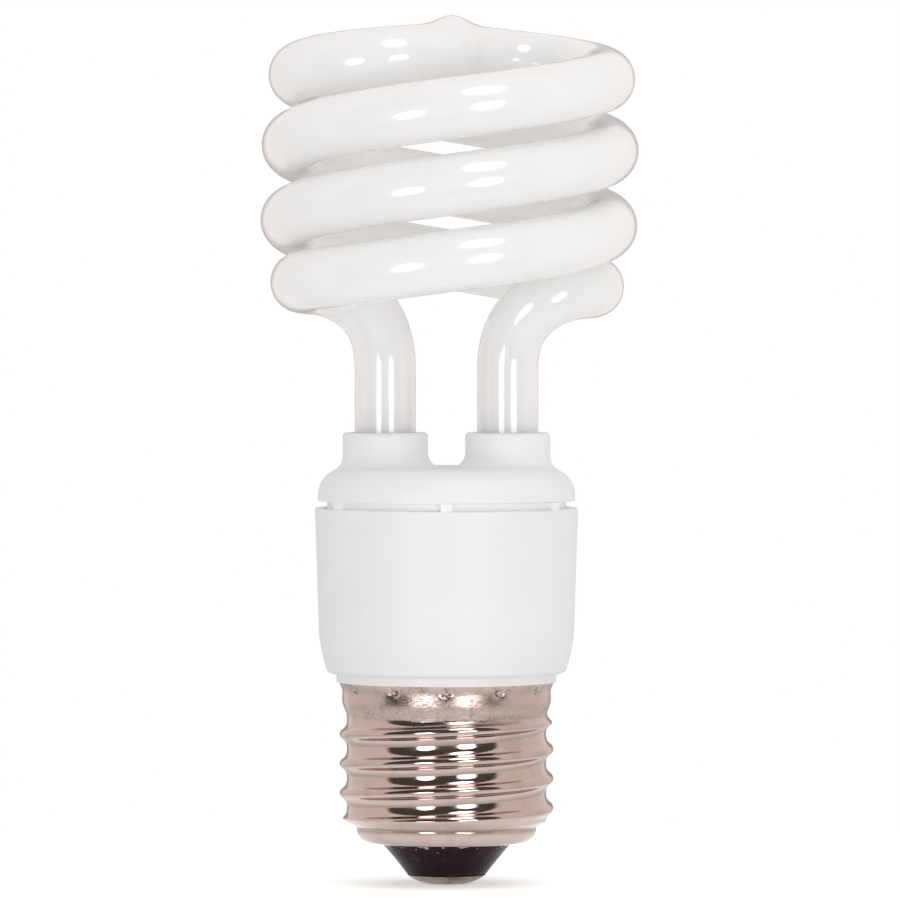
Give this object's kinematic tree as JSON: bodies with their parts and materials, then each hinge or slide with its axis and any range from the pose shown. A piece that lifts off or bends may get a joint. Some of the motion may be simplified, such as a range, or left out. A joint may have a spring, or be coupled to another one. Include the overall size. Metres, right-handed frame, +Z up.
{
  "type": "spiral energy saving bulb",
  "caption": "Compact fluorescent lamp with a coiled white glass tube on two legs, a white plastic ballast housing with a vent slot, and a nickel plated screw cap with a centre contact.",
  "frame": {"origin": "tip of the centre contact, on the axis of the screw cap", "axes": "+Z up the axis from the contact to the tube's bridge, X through the two tube legs, -Y to the front of the picture"},
  "size_m": [0.0465, 0.0464, 0.1069],
  "materials": {
    "tube_glass": "glossy, phosphor white behind clear glass",
    "cement": "matte",
    "white_plastic": "moulded, satin",
    "nickel": "rolled sheet, plated",
    "black_glass": "glossy, fused",
    "contact_metal": "tinned",
    "board": "bare laminate",
    "tinned_metal": "tinned wire",
    "black_sleeve": "moulded",
    "ferrite": "sintered",
    "copper": "enamelled wire",
    "blue_lacquer": "lacquered",
    "red_lacquer": "dipped"
  },
  "bodies": {
    "root": {"spiral_tube": "tube_glass", "tube_cement": "cement", "top_cover": "white_plastic", "housing": "white_plastic", "screw_shell": "nickel", "insulator": "black_glass", "centre_contact": "contact_metal", "circuit_board": "board", "board_pins": "tinned_metal", "filament_leads": "tinned_metal", "smoothing_capacitor": "black_sleeve", "choke_core": "ferrite", "choke_bobbin": "black_sleeve", "choke_winding": "copper", "toroid_core": "ferrite", "toroid_windings": "copper", "transistor_1": "black_sleeve", "transistor_2": "black_sleeve", "rectifier_diodes": "black_sleeve", "trigger_diode": "blue_lacquer", "start_resistor_1": "blue_lacquer", "start_resistor_2": "blue_lacquer", "coupling_capacitor": "red_lacquer", "resonance_capacitor": "red_lacquer", "fuse_resistor": "blue_lacquer", "phase_lead": "black_sleeve", "neutral_lead": "tinned_metal"}
  },
  "joints": []
}
